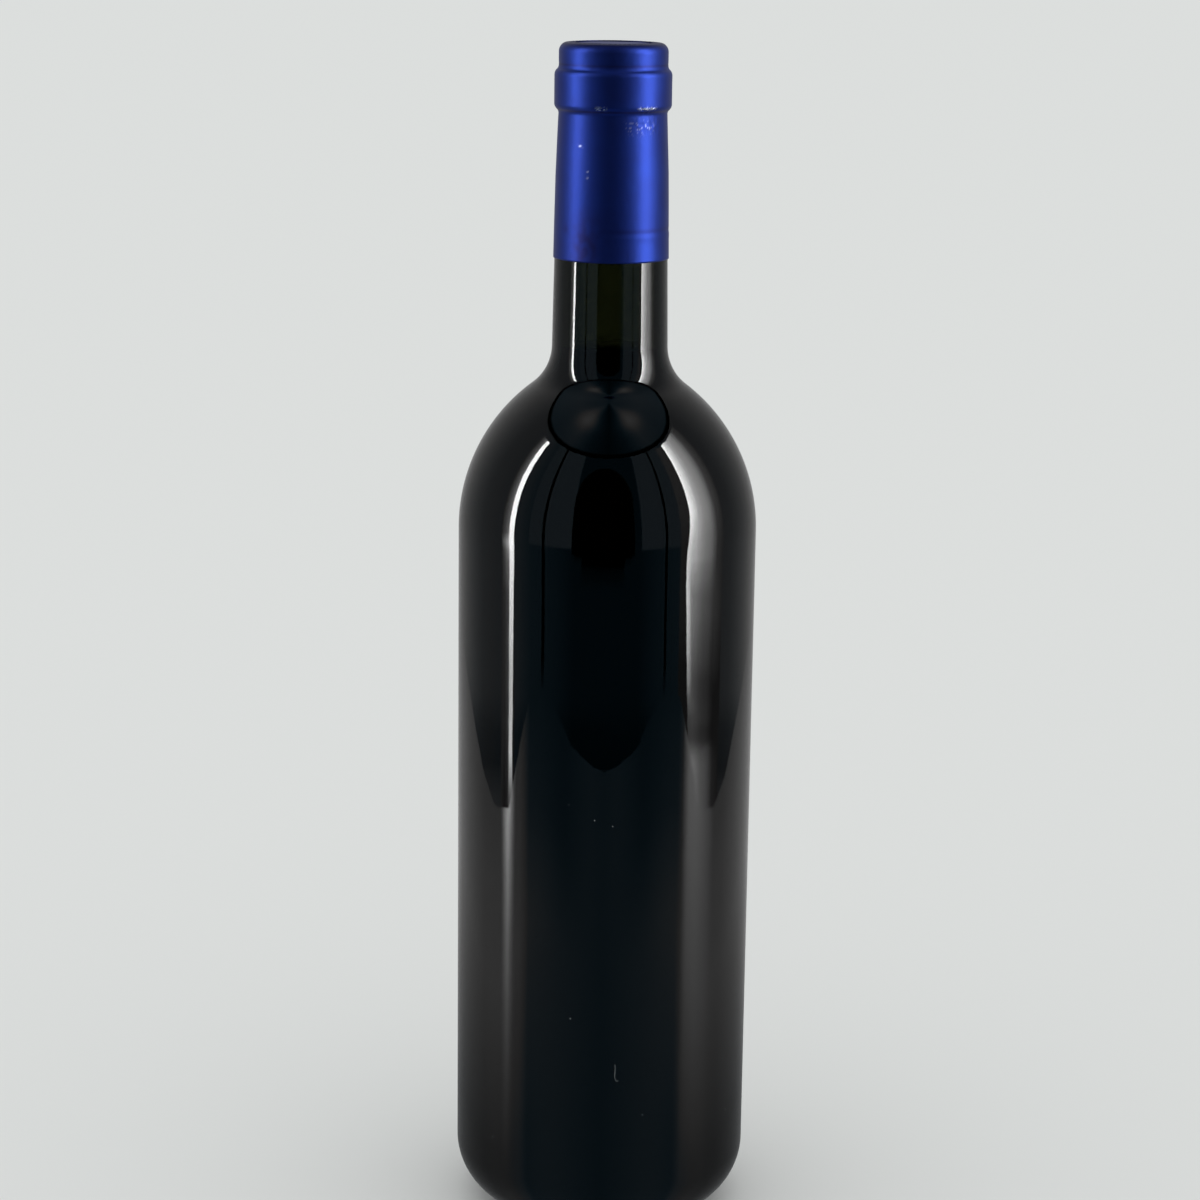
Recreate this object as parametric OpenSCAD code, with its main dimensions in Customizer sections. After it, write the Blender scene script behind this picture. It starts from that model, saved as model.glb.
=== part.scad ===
// Wine bottle, Bordeaux shape: dark glass, red wine up into the neck, and a blue foil
// capsule shrunk over the mouth. Everything is round about the Z axis, in millimetres,
// and the bottle stands on the plane z = 0.

/* [Glass outside] */
// Height of the glass, from the table to the mouth
glass_h = 309.5; // [255:0.5:375]
// Diameter of the body
body_d = 77.5; // [62:0.5:92]
// Length of the neck, from the mouth down to where the shoulder's curve ends
neck_l = 76; // [64:0.5:95]
// Radius of the round shoulder
shoulder_r = 47; // [36:0.5:60]
// Radius of the hollow curve that leads the shoulder into the neck
hollow_r = 13; // [6:0.5:20]
// Radius of the round heel
heel_r = 17; // [8:0.5:20]
// Radius of the neck at its foot
neck_foot_r = 14.9; // [14.5:0.05:17.5]
// Radius of the neck where its taper grows
neck_mid_r = 14.1; // [13.8:0.05:14.5]
// Radius of the neck just below the collar
neck_top_r = 13.5; // [12.5:0.05:13.8]
// Depth below the mouth at which the taper grows
neck_mid_depth = 32; // [24:0.5:45]

/* [Mouth] */
// Radius of the lip above the collar
lip_r = 13.55; // [12.5:0.05:13.8]
// Radius of the round edge on the lip
lip_edge_r = 2.1; // [1:0.1:3]
// Radius of the collar
collar_r = 14.6; // [14:0.05:16]
// Depth of the collar's upper slope below the mouth, at its middle
collar_top_depth = 6.4; // [5:0.1:8]
// Depth of the collar's lower slope below the mouth, at its middle
collar_foot_depth = 15.9; // [12:0.1:19]
// Radius of the two curves in each slope of the collar
collar_edge_r = 1.7; // [0.8:0.1:2]

/* [Glass inside] */
// Radius of the bore at the mouth
bore_mouth_r = 9.3; // [8.8:0.05:9.8]
// Radius of the bore at its foot
bore_foot_r = 10.4; // [9.9:0.05:11.5]
// Thickness of the body's wall
wall_t = 4.4; // [2.5:0.1:5.5]
// Radius of the hollow curve inside, between the shoulder and the bore
bore_hollow_r = 17; // [10:0.5:22]
// Radius of the round inner corner above the heel
floor_corner_r = 10; // [5:0.5:14]
// Thickness of the glass under the wine
floor_t = 5.5; // [3:0.5:8]

/* [Foot] */
// Width of the flat ring that the bottle stands on
foot_w = 2.5; // [1.5:0.1:4]
// Radius of the round edge between that ring and the hollow in the base
foot_edge_r = 3; // [1:0.5:5]
// Height of the hollow in the base
punt_h = 11; // [6:0.5:14]

/* [Wine] */
// Depth of the wine's surface below the mouth
wine_depth = 76; // [58:0.5:90]
// Gap left between the wine and the glass
wine_gap = 0.05; // [0.02:0.01:0.2]

/* [Capsule] */
// Thickness of the foil
foil_t = 0.25; // [0.15:0.05:0.4]
// Gap left between the foil and what it covers
foil_gap = 0.03; // [0.02:0.01:0.1]
// Length of the sleeve, from the mouth of the glass down to its lower edge
sleeve_l = 53.5; // [45:0.5:62]
// Width of the edge folded flat over the rim of the disc
fold_w = 1.6; // [0.8:0.1:3]
// Thickness of the disc that closes the top
disc_t = 0.25; // [0.15:0.05:0.5]
// Gap between the rim of the disc and the bend of the sleeve around it
disc_gap = 0.1; // [0.05:0.05:0.3]

/* [Hidden] */
$fn = 180;

// Angle between two points of an arc
arc_step = 3;
// Points along an arc of a circle, without the last one
function arc(centre, r, from, to) =
    let (steps = max(2, ceil(abs(to - from) / arc_step)))
    [for (i = [0:steps - 1])
        let (a = from + (to - from) * i / steps) centre + r * [cos(a), sin(a)]];
// Height of an S of two arcs that joins a wide radius to a narrow one, upright at both ends
function s_rise(wide, narrow, convex, concave) =
    sqrt((convex + concave) ^ 2 - (convex + concave - wide + narrow) ^ 2);
// Angle through which each arc of that S turns
function s_turn(wide, narrow, convex, concave) =
    acos(1 - (wide - narrow) / (convex + concave));
// Points of the S from its wide foot at height z up to its narrow end, without the last one
function s_inwards(wide, narrow, z, convex, concave) =
    let (turn = s_turn(wide, narrow, convex, concave))
    let (end_z = z + s_rise(wide, narrow, convex, concave))
    [
        each arc([wide - convex, z], convex, 0, turn),
        each arc([narrow + concave, end_z], concave, 180 + turn, 180)
    ];
// Points of the S from its narrow foot at height z up to its wide end, without the last one
function s_outwards(narrow, wide, z, concave, convex) =
    let (turn = s_turn(wide, narrow, convex, concave))
    let (end_z = z + s_rise(wide, narrow, convex, concave))
    [
        each arc([narrow + concave, z], concave, 180, 180 - turn),
        each arc([wide - convex, end_z], convex, -turn, 0)
    ];
function reversed(points) = [for (i = [len(points) - 1:-1:0]) points[i]];

body_r = body_d / 2;
inner_r = body_r - wall_t;
inner_shoulder_r = shoulder_r - wall_t;
neck_foot_z = glass_h - neck_l;
neck_mid_z = glass_h - neck_mid_depth;
shoulder_z = neck_foot_z - s_rise(body_r, neck_foot_r, shoulder_r, hollow_r);
bore_foot_z = shoulder_z + s_rise(inner_r, bore_foot_r, inner_shoulder_r, bore_hollow_r);
// The collar's two slopes
collar_rise = s_rise(collar_r, neck_top_r, collar_edge_r, collar_edge_r);
collar_fall = s_rise(collar_r, lip_r, collar_edge_r, collar_edge_r);
collar_foot_z = glass_h - collar_foot_depth - collar_rise / 2;
collar_top_z = glass_h - collar_top_depth - collar_fall / 2;
// The hollow in the base is a dome that meets the foot's round edge in a smooth curve
punt_r = body_r - heel_r - foot_w;
punt_dome_r = (punt_r ^ 2 + punt_h ^ 2) / (2 * punt_h) - foot_edge_r;
punt_centre = [0, punt_h - punt_dome_r];
punt_turn = atan2(foot_edge_r - punt_centre.y, punt_r);

// Outline of the neck from a height up to the flat top of the lip, grown outwards by a
// margin, with the top raised by a lift that makes room for the disc
function neck_outline(from_z, margin = 0, lift = 0) =
    let (convex = collar_edge_r + margin)
    let (concave = collar_edge_r - margin)
    let (along = (from_z - neck_foot_z) / (neck_mid_z - neck_foot_z))
    [
        [neck_foot_r + (neck_mid_r - neck_foot_r) * along + margin, from_z],
        [neck_mid_r + margin, neck_mid_z],
        each s_outwards(neck_top_r + margin, collar_r + margin, collar_foot_z, concave, convex),
        [collar_r + margin, collar_foot_z + collar_rise],
        each s_inwards(collar_r + margin, lip_r + margin, collar_top_z, convex, concave),
        [lip_r + margin, collar_top_z + collar_fall],
        each arc([lip_r - lip_edge_r, glass_h + lift - lip_edge_r], lip_edge_r + margin, 0, 90),
        [lip_r - lip_edge_r, glass_h + lift + margin]
    ];

// Outline of the glass from the axis under the base out and up to the flat top of the lip
function glass_outline() = [
    each arc(punt_centre, punt_dome_r, 90, punt_turn),
    each arc([punt_r, foot_edge_r], foot_edge_r, 180 + punt_turn, 270),
    [punt_r, 0],
    each arc([body_r - heel_r, heel_r], heel_r, -90, 0),
    [body_r, heel_r],
    each s_inwards(body_r, neck_foot_r, shoulder_z, shoulder_r, hollow_r),
    each neck_outline(neck_foot_z)
];

// Outline of the space inside the glass from the axis out and up to the mouth, drawn
// smaller by a gap
function cavity_outline(gap = 0) =
    let (dome_r = punt_dome_r + floor_t + gap)
    let (corner = [inner_r - floor_corner_r, floor_t + floor_corner_r])
    [
        each arc(punt_centre, dome_r, 90, asin((floor_t + gap - punt_centre.y) / dome_r)),
        [sqrt(dome_r ^ 2 - (floor_t + gap - punt_centre.y) ^ 2), floor_t + gap],
        each arc(corner, floor_corner_r - gap, -90, 0),
        [inner_r - gap, corner.y],
        each s_inwards(inner_r - gap, bore_foot_r - gap, shoulder_z,
            inner_shoulder_r - gap, bore_hollow_r + gap),
        [bore_foot_r - gap, bore_foot_z],
        [bore_mouth_r - gap, glass_h]
    ];

module bottle() {
    color([0.03, 0.05, 0.04]) rotate_extrude()
        polygon([each glass_outline(), each reversed(cavity_outline())]);
}

module wine() {
    color([0.12, 0.01, 0.03]) rotate_extrude() intersection() {
        polygon([each cavity_outline(wine_gap), [0, glass_h]]);
        square([body_r, glass_h - wine_depth]);
    }
}

// Foil sleeve: it follows the neck, the collar and the lip, and its upper edge is folded
// in over the rim of the disc
module capsule() {
    edge_z = glass_h - sleeve_l;
    fold_r = lip_r - lip_edge_r - fold_w;
    lift = disc_t + foil_gap;
    outer = foil_gap + foil_t;
    color([0.13, 0.16, 0.5]) rotate_extrude() polygon([
        each neck_outline(edge_z, outer, lift),
        [fold_r, glass_h + lift + outer],
        [fold_r, glass_h + lift + foil_gap],
        each reversed(neck_outline(edge_z, foil_gap, lift))
    ]);
}

// Thin disc that lies on the mouth, with its rim under the folded edge
module top_disc() {
    color([0.07, 0.08, 0.2]) translate([0, 0, glass_h + foil_gap])
        cylinder(h = disc_t, r = lip_r - lip_edge_r - disc_gap);
}

bottle();
wine();
capsule();
top_disc();
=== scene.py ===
import math
import random

import bmesh
import bpy
from mathutils import Matrix, Vector, noise


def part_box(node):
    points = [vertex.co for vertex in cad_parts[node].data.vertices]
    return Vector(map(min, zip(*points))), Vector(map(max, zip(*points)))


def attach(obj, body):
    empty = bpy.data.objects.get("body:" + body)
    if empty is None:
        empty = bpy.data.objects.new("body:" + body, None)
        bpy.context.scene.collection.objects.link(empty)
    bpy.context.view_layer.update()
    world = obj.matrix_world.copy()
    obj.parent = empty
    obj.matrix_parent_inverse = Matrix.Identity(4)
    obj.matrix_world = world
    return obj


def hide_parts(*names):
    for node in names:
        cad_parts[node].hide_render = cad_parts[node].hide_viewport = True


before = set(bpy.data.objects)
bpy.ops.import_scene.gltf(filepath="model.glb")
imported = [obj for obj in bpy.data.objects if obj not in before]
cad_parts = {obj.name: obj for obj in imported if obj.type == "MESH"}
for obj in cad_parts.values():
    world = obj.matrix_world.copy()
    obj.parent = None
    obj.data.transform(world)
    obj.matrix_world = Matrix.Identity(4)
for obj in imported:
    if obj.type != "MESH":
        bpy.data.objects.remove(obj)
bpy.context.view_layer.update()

# ------------------------------------------------------------------ glass
# The bottle itself: very dark green glass, blown in a mould, about 4 mm thick in the
# body and the neck. It has a round heel, a hollow pushed up into the base, and a lip
# with a collar at the mouth. The skin is turned from one outline.
glass_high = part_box("bottle")[1]
glass_h = glass_high.z
body_r = glass_high.x
neck_l = 0.076
shoulder_r = 0.047
hollow_r = 0.013
heel_r = 0.017
neck_foot_r = 0.0149
neck_mid_r = 0.0141
neck_top_r = 0.0135
neck_mid_depth = 0.032
lip_r = 0.01355
lip_edge_r = 0.0021
collar_r = 0.0146
collar_top_depth = 0.0064
collar_foot_depth = 0.0159
collar_edge_r = 0.0017
bore_mouth_r = 0.0093
bore_foot_r = 0.0104
wall_t = 0.0044
bore_hollow_r = 0.017
floor_corner_r = 0.010
floor_t = 0.0055
foot_w = 0.0025
foot_edge_r = 0.003
punt_h = 0.011
glass_tint = (0.375, 0.39, 0.25)
glass_depth = 900.0
fine_step = 1.5
plain_step = 4.0
glass_steps = 192
wave_scale = 55.0
ripple_scale = 480.0
ripple_share = 0.06
wave_height = 0.0001


def arc(centre, radius, start, end, step=fine_step):
    """Points along an arc of a circle, in degrees, without its last point."""
    count = max(2, math.ceil(abs(end - start) / step))
    turns = [math.radians(start + (end - start) * i / count) for i in range(count)]
    return [(centre[0] + radius * math.cos(a), centre[1] + radius * math.sin(a)) for a in turns]


def s_rise(wide, narrow, convex, concave):
    """Height of an S of two arcs that joins a wide radius to a narrow one."""
    both = convex + concave
    return math.sqrt(both ** 2 - (both - wide + narrow) ** 2)


def s_inwards(wide, narrow, z, convex, concave, step=fine_step):
    """Points of that S from its wide foot at height z up to its narrow end."""
    turn = math.degrees(math.acos(1 - (wide - narrow) / (convex + concave)))
    end_z = z + s_rise(wide, narrow, convex, concave)
    return (arc((wide - convex, z), convex, 0, turn, step)
            + arc((narrow + concave, end_z), concave, 180 + turn, 180, step))


def s_outwards(narrow, wide, z, concave, convex, step=fine_step):
    """Points of that S from its narrow foot at height z up to its wide end."""
    turn = math.degrees(math.acos(1 - (wide - narrow) / (convex + concave)))
    end_z = z + s_rise(wide, narrow, convex, concave)
    return (arc((narrow + concave, z), concave, 180, 180 - turn, step)
            + arc((wide - convex, end_z), convex, -turn, 0, step))


inner_r = body_r - wall_t
inner_shoulder_r = shoulder_r - wall_t
neck_foot_z = glass_h - neck_l
neck_mid_z = glass_h - neck_mid_depth
shoulder_z = neck_foot_z - s_rise(body_r, neck_foot_r, shoulder_r, hollow_r)
bore_foot_z = shoulder_z + s_rise(inner_r, bore_foot_r, inner_shoulder_r, bore_hollow_r)
collar_rise = s_rise(collar_r, neck_top_r, collar_edge_r, collar_edge_r)
collar_fall = s_rise(collar_r, lip_r, collar_edge_r, collar_edge_r)
collar_foot_z = glass_h - collar_foot_depth - collar_rise / 2
collar_top_z = glass_h - collar_top_depth - collar_fall / 2
punt_r = body_r - heel_r - foot_w
punt_dome_r = (punt_r ** 2 + punt_h ** 2) / (2 * punt_h) - foot_edge_r
punt_z = punt_h - punt_dome_r
punt_turn = math.degrees(math.atan2(foot_edge_r - punt_z, punt_r))


def neck_outline(from_z, margin=0.0, lift=0.0):
    """The neck from a height up to the flat of the lip, grown by a margin."""
    convex = collar_edge_r + margin
    concave = collar_edge_r - margin
    along = (from_z - neck_foot_z) / (neck_mid_z - neck_foot_z)
    lip_z = glass_h + lift - lip_edge_r
    return ([(neck_foot_r + (neck_mid_r - neck_foot_r) * along + margin, from_z),
             (neck_mid_r + margin, neck_mid_z)]
            + s_outwards(neck_top_r + margin, collar_r + margin, collar_foot_z, concave, convex, 5)
            + s_inwards(collar_r + margin, lip_r + margin, collar_top_z, convex, concave, 5)
            + [(lip_r + margin, collar_top_z + collar_fall)]
            + arc((lip_r - lip_edge_r, lip_z), lip_edge_r + margin, 0, 90, 6)
            + [(lip_r - lip_edge_r, glass_h + lift + margin)])


def cavity_outline(gap=0.0):
    """The space inside the glass from the axis out and up to the mouth."""
    dome_r = punt_dome_r + floor_t + gap
    floor_z = floor_t + gap
    corner = (inner_r - floor_corner_r, floor_t + floor_corner_r)
    floor_turn = math.degrees(math.asin((floor_z - punt_z) / dome_r))
    return (arc((0, punt_z), dome_r, 90, floor_turn, plain_step)
            + [(math.sqrt(dome_r ** 2 - (floor_z - punt_z) ** 2), floor_z)]
            + arc(corner, floor_corner_r - gap, -90, 0, plain_step)
            + [(inner_r - gap, corner[1])]
            + s_inwards(inner_r - gap, bore_foot_r - gap, shoulder_z,
                        inner_shoulder_r - gap, bore_hollow_r + gap, plain_step)
            + [(bore_foot_r - gap, bore_foot_z), (bore_mouth_r - gap, glass_h)])


def with_short_runs(points, longest):
    """The same outline with its long straight runs cut up, so that shading stays true."""
    cut = []
    for (r, z), (next_r, next_z) in zip(points, points[1:]):
        parts = max(1, math.ceil(math.hypot(next_r - r, next_z - z) / longest))
        for i in range(parts):
            cut.append((r + (next_r - r) * i / parts, z + (next_z - z) * i / parts))
    return cut + [points[-1]]


def link(tree, source, target):
    tree.links.new(source, target)


def turning_tree():
    """Geometry nodes that turn an outline, given as a chain of points, round the Z axis."""
    tree = bpy.data.node_groups.new("Turned outline", "GeometryNodeTree")
    socket = tree.interface.new_socket
    socket("Outline", in_out="INPUT", socket_type="NodeSocketGeometry")
    socket("Steps round", in_out="INPUT", socket_type="NodeSocketInt")
    socket("Finish", in_out="INPUT", socket_type="NodeSocketMaterial")
    socket("Piece", in_out="OUTPUT", socket_type="NodeSocketGeometry")
    given = tree.nodes.new("NodeGroupInput").outputs
    made = tree.nodes.new("NodeGroupOutput").inputs

    def number(operation, first, second):
        """One sum on two sockets or numbers."""
        node = tree.nodes.new("ShaderNodeMath")
        node.operation = operation
        for value, into in ((first, node.inputs[0]), (second, node.inputs[1])):
            if isinstance(value, (int, float)):
                into.default_value = value
            else:
                link(tree, value, into)
        return node.outputs[0]

    count = tree.nodes.new("GeometryNodeAttributeDomainSize")
    link(tree, given["Outline"], count.inputs["Geometry"])
    columns = number("ADD", given["Steps round"], 1)
    grid = tree.nodes.new("GeometryNodeMeshGrid")
    link(tree, count.outputs["Point Count"], grid.inputs["Vertices X"])
    link(tree, columns, grid.inputs["Vertices Y"])
    index = tree.nodes.new("GeometryNodeInputIndex").outputs[0]
    row = number("FLOOR", number("DIVIDE", number("ADD", index, 0.5), columns), 0)
    column = number("SUBTRACT", index, number("MULTIPLY", row, columns))
    part = number("DIVIDE", column, given["Steps round"])
    place = tree.nodes.new("GeometryNodeSampleIndex")
    place.data_type = "FLOAT_VECTOR"
    link(tree, given["Outline"], place.inputs["Geometry"])
    link(tree, tree.nodes.new("GeometryNodeInputPosition").outputs[0], place.inputs["Value"])
    link(tree, row, place.inputs["Index"])
    turned = tree.nodes.new("ShaderNodeVectorRotate")
    turned.rotation_type = "Z_AXIS"
    link(tree, place.outputs["Value"], turned.inputs["Vector"])
    link(tree, number("MULTIPLY", part, 2 * math.pi), turned.inputs["Angle"])
    moved = tree.nodes.new("GeometryNodeSetPosition")
    link(tree, grid.outputs["Mesh"], moved.inputs["Geometry"])
    link(tree, turned.outputs[0], moved.inputs["Position"])
    merged = tree.nodes.new("GeometryNodeMergeByDistance")
    merged.inputs["Distance"].default_value = 1e-6
    link(tree, moved.outputs[0], merged.inputs["Geometry"])
    smooth = tree.nodes.new("GeometryNodeSetShadeSmooth")
    link(tree, merged.outputs[0], smooth.inputs["Geometry"])
    real = tree.nodes.new("GeometryNodeRealizeInstances")
    link(tree, smooth.outputs[0], real.inputs["Geometry"])
    finish = tree.nodes.new("GeometryNodeSetMaterial")
    link(tree, real.outputs[0], finish.inputs["Geometry"])
    link(tree, given["Finish"], finish.inputs["Material"])
    link(tree, finish.outputs[0], made["Piece"])
    return tree


def as_plain_mesh(piece):
    """Keeps what the piece's nodes made as its own mesh, with every face outwards."""
    graph = bpy.context.evaluated_depsgraph_get()
    mesh = bpy.data.meshes.new_from_object(piece.evaluated_get(graph))
    piece.modifiers.clear()
    piece.data = mesh
    skin = bmesh.new()
    skin.from_mesh(mesh)
    bmesh.ops.recalc_face_normals(skin, faces=skin.faces)
    skin.to_mesh(mesh)
    skin.free()


turning = turning_tree()


def turn(name, outline, steps, finish):
    """A piece turned from an outline of (radius, height) points."""
    mesh = bpy.data.meshes.new(name)
    chain = [(i, i + 1) for i in range(len(outline) - 1)]
    mesh.from_pydata([(r, 0.0, z) for r, z in outline], chain, [])
    piece = bpy.data.objects.new(name, mesh)
    bpy.context.collection.objects.link(piece)
    turned = piece.modifiers.new("Turned", "NODES")
    turned.node_group = turning
    sockets = {s.name: s.identifier for s in turning.interface.items_tree if s.in_out == "INPUT"}
    turned[sockets["Steps round"]] = steps
    turned[sockets["Finish"]] = finish
    as_plain_mesh(piece)
    return piece


def material(name):
    """A new material with its node tree and its main shader."""
    finish = bpy.data.materials.new(name)
    finish.use_nodes = True
    return finish, finish.node_tree, finish.node_tree.nodes["Principled BSDF"]


def dark_glass():
    """Glass that drinks nearly all light within its own thickness, with a faintly wavy skin."""
    finish, tree, shader = material("Dark glass")
    shader.inputs["Base Color"].default_value = (0.93, 0.97, 0.93, 1)
    shader.inputs["Roughness"].default_value = 0.012
    shader.inputs["IOR"].default_value = 1.52
    shader.inputs["Transmission Weight"].default_value = 1.0
    drinks = tree.nodes.new("ShaderNodeVolumeAbsorption")
    drinks.inputs["Color"].default_value = (*glass_tint, 1)
    drinks.inputs["Density"].default_value = glass_depth
    link(tree, drinks.outputs[0], tree.nodes["Material Output"].inputs["Volume"])
    place = tree.nodes.new("ShaderNodeTexCoord").outputs["Object"]
    wave = tree.nodes.new("ShaderNodeTexNoise")
    wave.inputs["Scale"].default_value = wave_scale
    wave.inputs["Detail"].default_value = 1.0
    link(tree, place, wave.inputs["Vector"])
    ripple = tree.nodes.new("ShaderNodeTexNoise")
    ripple.inputs["Scale"].default_value = ripple_scale
    ripple.inputs["Detail"].default_value = 1.0
    link(tree, place, ripple.inputs["Vector"])
    both = tree.nodes.new("ShaderNodeMath")
    both.operation = "MULTIPLY_ADD"
    both.inputs[1].default_value = ripple_share
    link(tree, ripple.outputs[0], both.inputs[0])
    link(tree, wave.outputs[0], both.inputs[2])
    bump = tree.nodes.new("ShaderNodeBump")
    bump.inputs["Strength"].default_value = 0.4
    bump.inputs["Distance"].default_value = wave_height
    link(tree, both.outputs[0], bump.inputs["Height"])
    link(tree, bump.outputs[0], shader.inputs["Normal"])
    return finish


outside = (arc((0, punt_z), punt_dome_r, 90, punt_turn, plain_step)
           + arc((punt_r, foot_edge_r), foot_edge_r, 180 + punt_turn, 270, plain_step)
           + [(punt_r, 0.0)]
           + arc((body_r - heel_r, heel_r), heel_r, -90, 0, 2.0)
           + [(body_r, heel_r)]
           + s_inwards(body_r, neck_foot_r, shoulder_z, shoulder_r, hollow_r)
           + neck_outline(neck_foot_z))
inside = cavity_outline()
bottle = turn("glass_bottle",
              with_short_runs(outside, 0.003) + with_short_runs(inside[::-1], 0.006),
              glass_steps, dark_glass())
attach(bottle, "root")
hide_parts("bottle")

# ------------------------------------------------------------------- wine
# Red wine, so deep that no light gets through it. It fills the body and the lower part
# of the neck. It reaches just into the wall, so that no air shows between them.
wine_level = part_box("wine")[1].z
into_wall = 0.0002
wine_steps = 128
wine_red = (0.012, 0.001, 0.003)


def red_wine():
    """Deep red with the clear, wet surface of a liquid."""
    finish, tree, shader = material("Red wine")
    shader.inputs["Base Color"].default_value = (*wine_red, 1)
    shader.inputs["Roughness"].default_value = 0.05
    shader.inputs["IOR"].default_value = 1.34
    shader.inputs["Specular IOR Level"].default_value = 0.2
    return finish


full = cavity_outline(-into_wall)
below = [(r, z) for r, z in full if z < wine_level]
(foot_r, foot_z), (mouth_r, mouth_z) = full[-2], full[-1]
edge_r = foot_r + (mouth_r - foot_r) * (wine_level - foot_z) / (mouth_z - foot_z)
wine = turn("wine_fill",
            with_short_runs(below + [(edge_r, wine_level)], 0.006) + [(0.0, wine_level)],
            wine_steps, red_wine())
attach(wine, "root")
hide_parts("wine")

# ---------------------------------------------------------------- capsule
# The sleeve of blue lacquered foil that is shrunk over the mouth and the neck. Its
# upper edge is folded in over the rim of the disc on the cork, in small pleats, and it
# is creased under the collar, where the foil is drawn in.
foil_low, foil_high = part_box("capsule")
foil_edge_z = foil_low.z
foil_t = 0.00025
foil_gap = 0.00003
fold_w = 0.0016
disc_t = 0.00025
foil_blue = (0.006, 0.032, 0.29)
# Darker blue, for a mottled tone, darker patches and painted shade in folds and creases.
foil_dark_tone_and_shade = (0.006, 0.010, 0.13)
# Silver metal, for scratches and for painted glints on the creases.
foil_bare_and_glint = (0.75, 0.80, 0.95)
fold_lift = disc_t + foil_gap
fold_r = lip_r - lip_edge_r - fold_w
foil_steps = 288
pleats = 52
groove_depth = 0.0047
crease_depth = 0.0154
dent_depth = 0.0192
wrinkle_depth = 0.0195
band_depth = 0.0462
dark_patch_azimuth = -27
wrinkle_scale = 1400.0
patch_scale = 160.0


def near(value, middle, width):
    """1 at the middle, falling smoothly to 0 at some widths from it."""
    return math.exp(-((value - middle) / width) ** 2)


def between(value, low, high, soft):
    """1 from low to high, falling smoothly to 0 outside."""
    rise = max(0.0, min(1.0, (value - low) / soft + 0.5))
    fall = max(0.0, min(1.0, (high - value) / soft + 0.5))
    return min(rise, fall)


def creased(azimuth):
    """Where round the neck the foil is creased under the collar."""
    return (between(azimuth, -17, -7, 3) + between(azimuth, 26, 46, 5)
            + 0.8 * between(azimuth, 118, 150, 8) + between(azimuth, -140, -112, 8))


def foil_relief(azimuth, depth, radius):
    """How far the foil's skin stands out and up from its smooth shape."""
    around = Vector((math.cos(math.radians(azimuth)), math.sin(math.radians(azimuth)), 0)) * radius
    spot = around + Vector((0, 0, depth))
    out = 0.00003 * noise.noise(spot * 120) + 0.000008 * noise.noise(spot * 600)
    under = near(depth, crease_depth, 0.0008) * creased(azimuth)
    out += under * 0.00022 * noise.noise(spot * 1300)
    wrinkled = near(depth, wrinkle_depth, 0.0022) * between(azimuth, 20, 62, 14)
    out += wrinkled * 0.00009 * noise.noise(spot * 1500)
    out -= 0.00007 * near(depth, dent_depth, 0.00022) * between(azimuth, 17, 46, 4)
    out -= 0.00004 * near(depth, groove_depth, 0.00035)
    out -= 0.00006 * near(depth, band_depth, 0.0005) * between(azimuth, -8, 95, 20)
    out += 0.00005 * near(depth, band_depth + 0.0012, 0.0007) * between(azimuth, -8, 95, 20)
    folded = max(0.0, min(1.0, (lip_r - 0.0012 - radius) / 0.0016)) * near(depth, -0.0005, 0.0009)
    pleat = 0.5 + 0.5 * math.sin(math.radians(azimuth) * pleats + 3 * noise.noise(around * 250))
    up = -folded * (0.00006 + 0.00011 * pleat + 0.00008 * (noise.noise(around * 420) + 1))
    return out, up


def foil_wear_shade_glint(azimuth, depth):
    """How much darker the lacquer is at a place and where its silver metal shows: darker patches, painted
    shade in the top fold, the groove, the dent band and under the collar, scratches, and silver specks that
    are painted glints on the creases.
    """
    spot = Vector((azimuth / 8, depth * 400, 0))
    # A darker patch low on the left side of the sleeve.
    dark_patch = near(azimuth, dark_patch_azimuth, 15) * near(depth, 0.0490, 0.0066)
    darker_and_shaded = dark_patch * (0.9 + 0.7 * noise.noise(spot * 1.2))
    # A small darker spot beside it.
    darker_and_shaded += 0.45 * near(azimuth, -52, 5) * near(depth, 0.0455, 0.0012)
    # Painted shade along the dent band.
    darker_and_shaded += 0.35 * between(azimuth, -5, 95, 25) * near(depth, band_depth - 0.0006, 0.0005)
    # Painted shade in the fold at the top and in the groove.
    darker_and_shaded += 0.9 * near(depth, -0.0005, 0.0007) + 0.7 * near(depth, groove_depth + 0.0002, 0.0003)
    # Painted shade in the crease under the collar.
    darker_and_shaded += 0.7 * near(depth, crease_depth + 0.0007, 0.0003)
    bare_and_glint = 0.6 * near(azimuth, -35, 2.2) * near(depth, 0.0246 + (azimuth + 35) * 0.00008, 0.00014)
    bare_and_glint += 0.8 * near(azimuth, -25.5, 0.7) * (near(depth, 0.0308, 0.00014) + near(depth, 0.0323, 0.0002))
    # Painted glints: silver specks along the crease under the collar.
    bare_and_glint += near(depth, crease_depth - 0.0002, 0.0003) * creased(azimuth) * (noise.noise(spot * 7) > 0.0)
    # Painted glints: silver specks on the wrinkles below the collar, on the right.
    bare_and_glint += 0.22 * between(azimuth, 14, 46, 8) * near(depth, 0.0197, 0.0014) * (noise.noise(spot * 9) > 0.3)
    return darker_and_shaded, bare_and_glint


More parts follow.
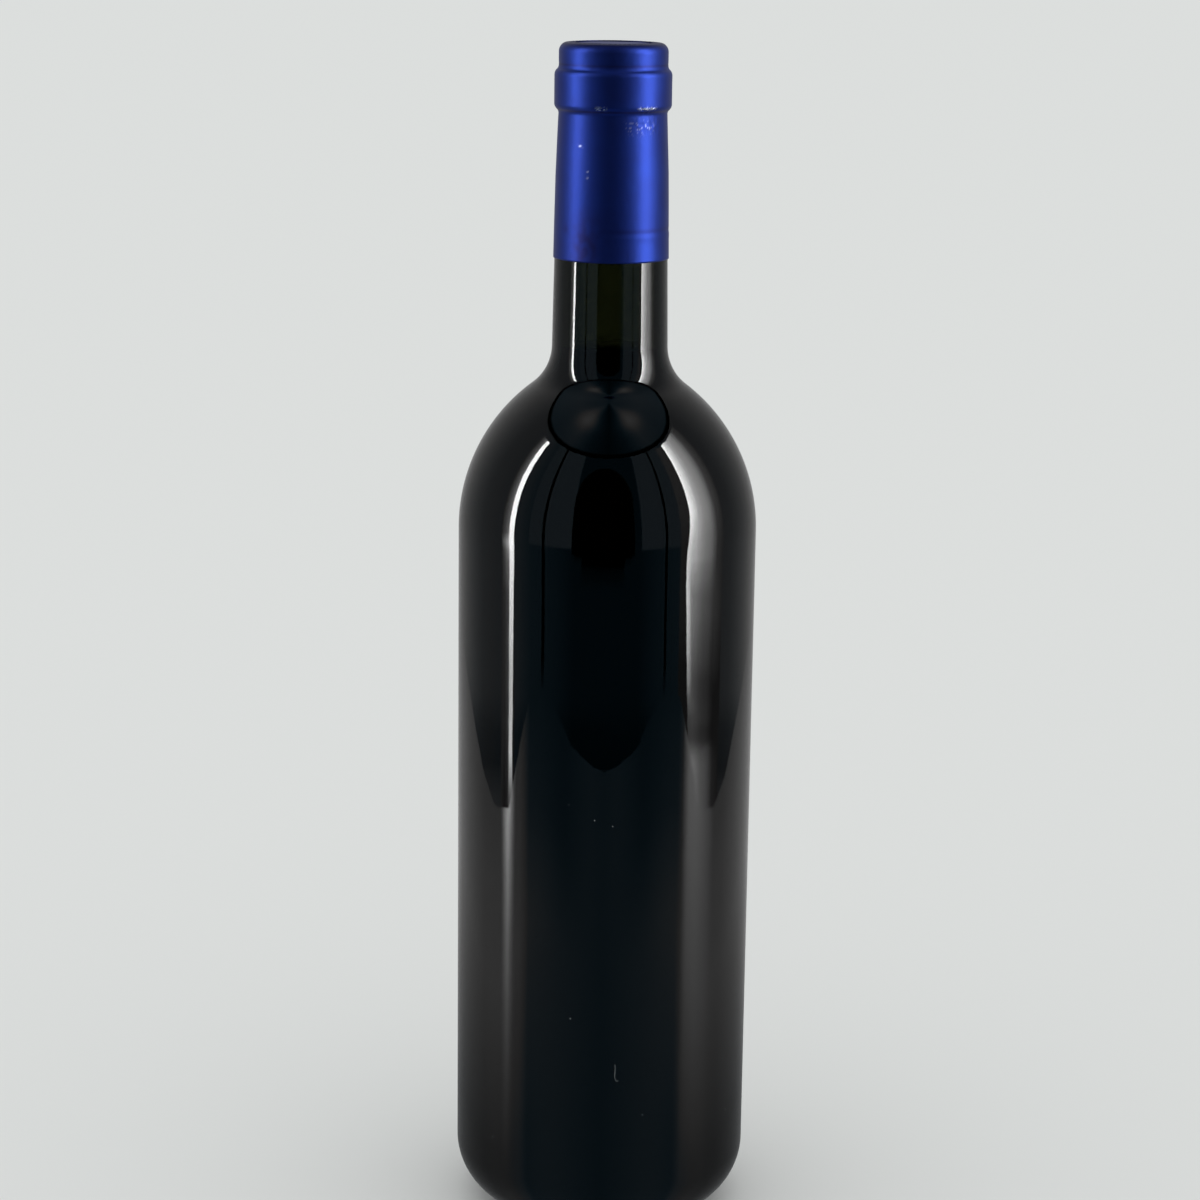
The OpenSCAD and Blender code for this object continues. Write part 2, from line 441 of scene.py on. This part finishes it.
def blue_foil():
    """Satin blue lacquer on metal foil, finely wrinkled, with a mottled tone, darker patches, painted shade
    in the folds and creases, and silver spots at scratches and as painted glints.
    """
    finish, tree, shader = material("Blue foil")
    place = tree.nodes.new("ShaderNodeTexCoord").outputs["Object"]
    patches = tree.nodes.new("ShaderNodeTexNoise")
    patches.inputs["Scale"].default_value = patch_scale
    patches.inputs["Detail"].default_value = 5.0
    link(tree, place, patches.inputs["Vector"])
    shade = tree.nodes.new("ShaderNodeMapRange")
    shade.inputs["From Min"].default_value = 0.35
    shade.inputs["From Max"].default_value = 0.65
    shade.inputs["To Min"].default_value = 0.22
    shade.inputs["To Max"].default_value = 0.0
    link(tree, patches.outputs[0], shade.inputs["Value"])
    wear_shade_glint = tree.nodes.new("ShaderNodeAttribute")
    wear_shade_glint.attribute_name = "Wear, shade and glints"
    parts = tree.nodes.new("ShaderNodeSeparateColor")
    link(tree, wear_shade_glint.outputs["Color"], parts.inputs["Color"])
    darker_and_shaded = tree.nodes.new("ShaderNodeMath")
    darker_and_shaded.use_clamp = True
    link(tree, shade.outputs[0], darker_and_shaded.inputs[0])
    link(tree, parts.outputs["Red"], darker_and_shaded.inputs[1])
    darker = tree.nodes.new("ShaderNodeMix")
    darker.data_type = "RGBA"
    darker.inputs["A"].default_value = (*foil_blue, 1)
    darker.inputs["B"].default_value = (*foil_dark_tone_and_shade, 1)
    link(tree, darker_and_shaded.outputs[0], darker.inputs["Factor"])
    tone_mark = tree.nodes.new("ShaderNodeMix")
    tone_mark.data_type = "RGBA"
    tone_mark.inputs["B"].default_value = (*foil_bare_and_glint, 1)
    link(tree, parts.outputs["Green"], tone_mark.inputs["Factor"])
    link(tree, darker.outputs["Result"], tone_mark.inputs["A"])
    link(tree, tone_mark.outputs["Result"], shader.inputs["Base Color"])
    shader.inputs["Metallic"].default_value = 1.0
    rough = tree.nodes.new("ShaderNodeMapRange")
    rough.inputs["To Min"].default_value = 0.45
    rough.inputs["To Max"].default_value = 0.22
    link(tree, parts.outputs["Green"], rough.inputs["Value"])
    link(tree, rough.outputs[0], shader.inputs["Roughness"])
    shader.inputs["Coat Weight"].default_value = 0.4
    shader.inputs["Coat Roughness"].default_value = 0.45
    wrinkle = tree.nodes.new("ShaderNodeTexNoise")
    wrinkle.inputs["Scale"].default_value = wrinkle_scale
    wrinkle.inputs["Detail"].default_value = 3.0
    link(tree, place, wrinkle.inputs["Vector"])
    bump = tree.nodes.new("ShaderNodeBump")
    bump.inputs["Strength"].default_value = 0.3
    bump.inputs["Distance"].default_value = 0.00005
    link(tree, wrinkle.outputs[0], bump.inputs["Height"])
    link(tree, bump.outputs[0], shader.inputs["Normal"])
    return finish


foil_outer = neck_outline(foil_edge_z, foil_gap + foil_t, fold_lift) + [(fold_r, foil_high.z)]
foil_inner = neck_outline(foil_edge_z, foil_gap, fold_lift) + [(fold_r, foil_high.z - foil_t)]
foil_ring = with_short_runs(foil_outer, 0.0004) + with_short_runs(foil_inner[::-1], 0.003)
foil = turn("foil_capsule", foil_ring + [foil_ring[0]], foil_steps, blue_foil())
# Each point keeps how much darker its lacquer is, with painted shade in the folds and creases, and how much
# silver shows, at scratches and as painted glints.
wear_shade_glint = foil.data.color_attributes.new("Wear, shade and glints", "FLOAT_COLOR", "POINT")
facings = [corner.normal.copy() for corner in foil.data.vertices]
for corner, facing, tone_mark in zip(foil.data.vertices, facings, wear_shade_glint.data):
    x, y, z = corner.co
    radius = math.hypot(x, y)
    azimuth = math.degrees(math.atan2(x, -y))
    darker_and_shaded, bare_and_glint = foil_wear_shade_glint(azimuth, glass_h - z)
    tone_mark.color = (min(1.0, darker_and_shaded), min(1.0, bare_and_glint), 0, 1)
    if facing.x * x + facing.y * y > 0 or facing.z > 0.9:
        out, up = foil_relief(azimuth, glass_h - z, radius)
        grown = 1 + out / radius
        corner.co = (x * grown, y * grown, min(z + up, foil_high.z))
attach(foil, "root")
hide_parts("capsule")

# --------------------------------------------------------------- top disc
# The thin disc of the same foil that closes the top, held down by the folded edge of
# the sleeve.
disc_low, disc_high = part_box("top_disc")
disc_steps = 128
disc_outline = [(0.0, disc_low.z), (disc_high.x, disc_low.z),
                (disc_high.x, disc_high.z), (0.0, disc_high.z)]
disc = turn("foil_disc", with_short_runs(disc_outline, 0.0008), disc_steps,
            bpy.data.materials["Blue foil"])
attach(disc, "root")
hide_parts("top_disc")

# ------------------------------------------------------------------- dust
# A few flecks and one short bent thread of dust on the body. Geometry nodes put a
# flake at each place, turned to lie on the glass.
fleck_r = 0.00013
shown_flecks = ((-11.8, 0.0639), (-13.2, 0.1214), (-3.4, 0.1176), (3.4, 0.1161), (16.7, 0.0373))
more_flecks = 22
thread_bends = ((5.6, 0.0517), (5.7, 0.0500), (5.5, 0.0484), (5.9, 0.0474), (6.4, 0.0471), (7.0, 0.0472))
thread_r = 0.00003


def on_body(azimuth, height, out=0.0):
    """A point on the upright part of the glass."""
    a = math.radians(azimuth)
    return Vector(((body_r + out) * math.sin(a), -(body_r + out) * math.cos(a), height))


def fleck_tree():
    """Geometry nodes that put a flake at each point, facing out from the bottle's axis."""
    tree = bpy.data.node_groups.new("Flecks", "GeometryNodeTree")
    socket = tree.interface.new_socket
    socket("Places", in_out="INPUT", socket_type="NodeSocketGeometry")
    socket("Size", in_out="INPUT", socket_type="NodeSocketFloat")
    socket("Finish", in_out="INPUT", socket_type="NodeSocketMaterial")
    socket("Flecks", in_out="OUTPUT", socket_type="NodeSocketGeometry")
    given = tree.nodes.new("NodeGroupInput").outputs
    made = tree.nodes.new("NodeGroupOutput").inputs
    flake = tree.nodes.new("GeometryNodeMeshIcoSphere")
    flake.inputs["Subdivisions"].default_value = 1
    link(tree, given["Size"], flake.inputs["Radius"])
    outwards = tree.nodes.new("ShaderNodeVectorMath")
    outwards.operation = "MULTIPLY"
    outwards.inputs[1].default_value = (1, 1, 0)
    link(tree, tree.nodes.new("GeometryNodeInputPosition").outputs[0], outwards.inputs[0])
    facing = tree.nodes.new("FunctionNodeAlignRotationToVector")
    link(tree, outwards.outputs[0], facing.inputs["Vector"])
    size = tree.nodes.new("FunctionNodeRandomValue")
    size.data_type = "FLOAT_VECTOR"
    size.inputs["Min"].default_value = (0.4, 0.5, 0.12)
    size.inputs["Max"].default_value = (1.1, 1.6, 0.12)
    size.inputs["Seed"].default_value = 4
    put = tree.nodes.new("GeometryNodeInstanceOnPoints")
    link(tree, given["Places"], put.inputs["Points"])
    link(tree, flake.outputs["Mesh"], put.inputs["Instance"])
    link(tree, facing.outputs["Rotation"], put.inputs["Rotation"])
    link(tree, size.outputs["Value"], put.inputs["Scale"])
    real = tree.nodes.new("GeometryNodeRealizeInstances")
    link(tree, put.outputs[0], real.inputs["Geometry"])
    finish = tree.nodes.new("GeometryNodeSetMaterial")
    link(tree, real.outputs[0], finish.inputs["Geometry"])
    link(tree, given["Finish"], finish.inputs["Material"])
    link(tree, finish.outputs[0], made["Flecks"])
    return tree


lint, _, lint_shader = material("Pale dust")
lint_shader.inputs["Base Color"].default_value = (0.35, 0.36, 0.37, 1)
lint_shader.inputs["Roughness"].default_value = 0.9
chance = random.Random(7)
places = [on_body(*place) for place in shown_flecks]
places += [on_body(chance.uniform(40, 320), chance.uniform(0.02, 0.15)) for i in range(more_flecks)]
fleck_mesh = bpy.data.meshes.new("dust_flecks")
fleck_mesh.from_pydata([tuple(p) for p in places], [], [])
flecks = bpy.data.objects.new("dust_flecks", fleck_mesh)
bpy.context.collection.objects.link(flecks)
scatter = flecks.modifiers.new("Flecks", "NODES")
scatter.node_group = fleck_tree()
sockets = {s.name: s.identifier for s in scatter.node_group.interface.items_tree if s.in_out == "INPUT"}
scatter[sockets["Size"]] = fleck_r
scatter[sockets["Finish"]] = lint
as_plain_mesh(flecks)
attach(flecks, "root")

thread_line = bpy.data.curves.new("dust_thread", "CURVE")
thread_line.dimensions = "3D"
thread_line.bevel_depth = thread_r
thread_line.bevel_resolution = 1
strand = thread_line.splines.new("POLY")
strand.points.add(len(thread_bends) - 1)
for point, (azimuth, height) in zip(strand.points, thread_bends):
    point.co = (*on_body(azimuth, height, thread_r), 1)
thread_line.materials.append(lint)
thread = bpy.data.objects.new("dust_thread", thread_line)
bpy.context.collection.objects.link(thread)
thread_mesh = bpy.data.meshes.new_from_object(thread)
bpy.data.objects.remove(thread)
thread = bpy.data.objects.new("dust_thread", thread_mesh)
bpy.context.collection.objects.link(thread)
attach(thread, "root")

# ----------------------------------------------------------------- studio
# A plain pale floor in soft light from all round. What the glass and the foil mirror is
# glowing sheets that only show in reflections: a grey room, darker in front, with a tall
# narrow lamp on the left, a broader, weaker one on the right, and a dim table top, with
# painted reflections of both lamps, whose curved edge is 0.4 to 0.6 metres away. Every
# tone of it is a short list of (place, strength) stops by azimuth, height or distance.
floor_half = 15.0
floor_pale = (0.785, 0.797, 0.790)
room_reach = 1.2
room_low = -0.7
room_high = 1.7
table_reach = 0.380
table_edge = [(0, 1.15), (10, 1.17), (25, 1.25), (40, 1.42), (52, 1.5), (60, 1.45),
              (70, 1.22), (79, 1.0), (95, 1.0), (110, 1.12), (130, 1.4), (150, 1.7)]
lamp_reach = room_reach - 0.02
outside_lamp = 0.22
seams = (-49.5, 46.1)
seam_half = 1.05
seam_low = -0.165
room_round = [(0, 0.05), (25, 0.05), (40, 0.10), (60, 0.13), (75, 0.22), (110, 0.20),
              (160, 0.38), (180, 0.42)]
room_up = [(-0.24, 1.0), (-0.215, 0.10), (-0.195, 0.7), (-0.17, 0.95)]
ceiling_round = [(0, 0.03), (25, 0.08), (50, 0.22), (85, 0.17), (120, 0.20), (180, 0.14)]
ceiling_out = [(0.0, 0.7), (0.5, 1.0), (1.1, 0.8), (1.14, 0.0)]
left_core = [(-0.245, 0.5), (-0.21, 9.0), (-0.16, 8.0), (-0.05, 17.0), (0.4, 20.0)]
left_narrow = [(-0.2, 0.8), (-0.12, 0.55), (-0.06, 0.0)]
left_skirt = [(-0.24, 0.3), (-0.1, 1.2), (-0.05, 5.0), (0.0, 9.0), (0.1, 2.5)]
right_inner = [(-0.20, 67.0), (-0.09, 63.0), (0.4, 67.0)]
right_peak = [(-0.18, 6.0), (-0.16, 14.0)]
right_fall = [(-0.18, 0.9), (-0.16, 0.4), (-0.10, 0.45), (-0.07, 1.0)]
right_up = [(-0.21, 0.45), (-0.20, 0.1), (-0.17, 0.2), (-0.11, 0.9), (0.1, 1.0), (0.4, 1.4)]
table_round = [(0, 0.125), (35, 0.18), (47, 0.22), (60, 0.26), (68, 0.48), (90, 0.48),
               (106, 0.38), (160, 0.42), (180, 0.44)]
table_near = [(0.0, 0.35), (0.13, 0.40), (0.18, 0.5), (0.3, 0.7), (0.48, 1.0), (0.75, 1.0),
              (1.0, 0.85)]
table_far = [(0.45, 1.0), (0.7, 0.6), (1.0, 0.5)]


def blend(stops, place):
    """The value at a place along a list of (place, value) stops, straight between them."""
    if place <= stops[0][0]:
        return stops[0][1]
    for (here, value), (there, next_value) in zip(stops, stops[1:]):
        if place <= there:
            return value + (next_value - value) * (place - here) / (there - here)
    return stops[-1][1]


def spread(low, high, count):
    """Evenly spaced numbers from low to high."""
    return [low + (high - low) * i / count for i in range(count + 1)]


def glowing_sheet(name, across, along, place, glow, lamp=False):
    """A sheet that only shows in reflections, placed and lit by two functions."""
    mesh = bpy.data.meshes.new(name)
    points = [(u, v) for u in across for v in along]
    row = len(along)
    faces = [(i * row + j, (i + 1) * row + j, (i + 1) * row + j + 1, i * row + j + 1)
             for i in range(len(across) - 1) for j in range(row - 1)]
    mesh.from_pydata([place(u, v) for u, v in points], [], faces)
    light = mesh.color_attributes.new("Glow", "FLOAT_COLOR", "POINT")
    light.data.foreach_set("color", [c for u, v in points for c in (*glow(u, v), 1.0)])
    finish, tree, shader = material(name)
    tree.nodes.remove(shader)
    colour = tree.nodes.new("ShaderNodeAttribute")
    colour.attribute_name = "Glow"
    emits = tree.nodes.new("ShaderNodeEmission")
    link(tree, colour.outputs["Color"], emits.inputs["Color"])
    link(tree, emits.outputs[0], tree.nodes["Material Output"].inputs["Surface"])
    if not lamp:
        finish.cycles.emission_sampling = "NONE"
    mesh.materials.append(finish)
    sheet = bpy.data.objects.new(name, mesh)
    bpy.context.collection.objects.link(sheet)
    sheet.visible_camera = False
    sheet.visible_diffuse = False
    sheet.visible_shadow = False
    sheet.visible_transmission = False


def mirrored(azimuth, distance, height):
    """A point seen in the bottle's skin. Azimuth is where the skin mirrors to, 0 in front and
    90 at the right, and distance is how far that is from the skin."""
    skin, a = math.radians(azimuth / 2), math.radians(azimuth)
    closing = blend([(140, 1.0), (180, 0.0)], abs(azimuth))
    return (closing * body_r * math.sin(skin) + distance * math.sin(a),
            -body_r * math.cos(skin) - distance * math.cos(a), height)


def tinted(level, amount=1.0):
    """Dim light is blue, by an amount, and stronger light is nearly white."""
    blue = amount * max(0.0, min(1.0, (0.3 - level) / 0.3))
    return (level * (1 - 0.85 * blue), level * (1 - 0.15 * blue), level * (1 + 0.35 * blue))


def room_glow(azimuth, height):
    """Grey walls with two thin dark seams and a dark rounded patch in front."""
    turn = abs(azimuth)
    side = blend(room_round, turn)
    if height > 0.05 and 26 < turn < 62:
        side = 0.20
    if height > seam_low and min(abs(azimuth - seam) for seam in seams) < seam_half:
        side = 0.0
    past = max(0.0, (-0.02 - height) / 0.075, (height - 0.6) / 0.8)
    if past < 1 and abs(azimuth + 3) < 24 * math.sqrt(1 - past ** 2):
        side = 0.0
    return tinted(side * blend(room_up, height), blend([(60, 1.0), (100, 0.3)], turn))


def ceiling_glow(azimuth, distance):
    """A dim ceiling with two brighter patches."""
    turn = abs(azimuth)
    side = blend(ceiling_round, turn) + 0.3 * near(turn, 55, 22) * near(distance, 0.45, 0.2)
    return tinted(side * blend(ceiling_out, distance))


def left_lamp_glow(azimuth, height):
    """A narrow bright core with a fainter skirt on its outer side."""
    core = blend(left_core, height)
    narrow = blend(left_narrow, height)
    skirt = blend(left_skirt, height)
    level = blend([(-88, outside_lamp), (-84, 0.35 * skirt), (-80.5, skirt), (-80.2 + narrow, core),
                   (-75.8 - narrow, core), (-75.4 - narrow, outside_lamp)], azimuth)
    return (level, level, level)


def right_lamp_glow(azimuth, height):
    """A sharp inner edge, from which the light falls off to the outside."""
    inner = blend(right_inner, height)
    peak = blend(right_peak, height)
    fall = blend(right_fall, height)
    side = blend([(inner, 0.2), (inner + 1, peak), (inner + 5, min(peak, 9.0 * fall)),
                  (76, 5.0 * fall), (80, 3.4 * fall), (86, 2.3 * fall), (90, 1.2 * fall),
                  (93, 0.45), (100, outside_lamp)], azimuth)
    level = max(0.1, side * blend(right_up, height))
    return (level, level, level)


def table_glow(azimuth, distance):
    """A dim glowing table top, with painted reflections of both lamps that grow towards its edge."""
    turn = abs(azimuth)
    reach = distance / table_reach
    out = max(0.0, reach)
    # Painted reflections of the left and the right lamp, stronger towards the table's edge.
    left = max(0.0, 1 - abs(azimuth + 80) / 6.5) * 4.8 * out ** 2.5
    right = blend([(64, 0.0), (70, 1.0), (76, 0.9), (96, 0.0)], azimuth) * 1.4 * out ** 1.5
    level = blend(table_round, turn)
    level *= 1 + (blend(table_near, reach) - 1) * blend([(35, 0.2), (70, 1.0)], turn)
    in_front = blend([(10, 0.0), (30, 1.0), (60, 1.0), (70, 0.0)], turn)
    level *= 1 + (blend(table_far, reach) - 1) * in_front
    return tinted(level + left + right, blend([(62, 1.0), (80, 0.1)], turn))


floor_mesh = bpy.data.meshes.new("floor")
floor_mesh.from_pydata([(-floor_half, -floor_half, 0), (floor_half, -floor_half, 0),
                        (floor_half, floor_half, 0), (-floor_half, floor_half, 0)], [], [(0, 1, 2, 3)])
floor = bpy.data.objects.new("floor", floor_mesh)
bpy.context.collection.objects.link(floor)
floor_finish, _, floor_shader = material("Pale floor")
floor_shader.inputs["Base Color"].default_value = (*floor_pale, 1)
floor_shader.inputs["Roughness"].default_value = 0.9
floor_shader.inputs["Specular IOR Level"].default_value = 0.0
floor_mesh.materials.append(floor_finish)
floor.visible_glossy = False

all_round = spread(-180, 180, 180)
glowing_sheet("room", spread(-180, 180, 720), spread(room_low, room_high, 96),
              lambda azimuth, height: mirrored(azimuth, room_reach, height), room_glow)
glowing_sheet("left_lamp", spread(-88, -75, 65), spread(-0.25, 1.5, 140),
              lambda azimuth, height: mirrored(azimuth, lamp_reach, height), left_lamp_glow, True)
glowing_sheet("right_lamp", spread(58, 100, 84), spread(-0.27, 1.6, 300),
              lambda azimuth, height: mirrored(azimuth, lamp_reach, height), right_lamp_glow, True)
glowing_sheet("ceiling", all_round, spread(0.0, room_reach, 24),
              lambda azimuth, distance: (distance * math.sin(math.radians(azimuth)),
                                         -distance * math.cos(math.radians(azimuth)), room_high),
              ceiling_glow)
under_heel = spread(-1.2 * heel_r, 0.0, 6)
glowing_sheet("table", all_round, under_heel + spread(0.0, table_reach, 30)[1:],
              lambda azimuth, distance: mirrored(azimuth, distance * blend(table_edge, abs(azimuth)), 0.0),
              table_glow)

world = bpy.data.worlds.new("Soft light")
bpy.context.scene.world = world
world.use_nodes = True
world.node_tree.nodes["Background"].inputs["Color"].default_value = (0.99, 1.0, 0.995, 1)
world.node_tree.nodes["Background"].inputs["Strength"].default_value = 0.92
world.cycles_visibility.glossy = False

# ----------------------------------------------------------------- camera
# Looks down on the bottle from just above its mouth, with a slight roll to one side.
camera_place = (-0.00166, -0.760, 0.3445)
camera_down = 13.22
camera_roll = 0.75
eye = bpy.data.cameras.new("Camera")
eye.lens = 89.258
eye.sensor_width = 36.0
camera = bpy.data.objects.new("Camera", eye)
bpy.context.collection.objects.link(camera)
camera.matrix_world = (Matrix.Translation(camera_place)
                       @ Matrix.Rotation(math.radians(90 - camera_down), 4, "X")
                       @ Matrix.Rotation(math.radians(camera_roll), 4, "Z"))
bpy.context.scene.camera = camera
bpy.context.scene.view_settings.view_transform = "Standard"
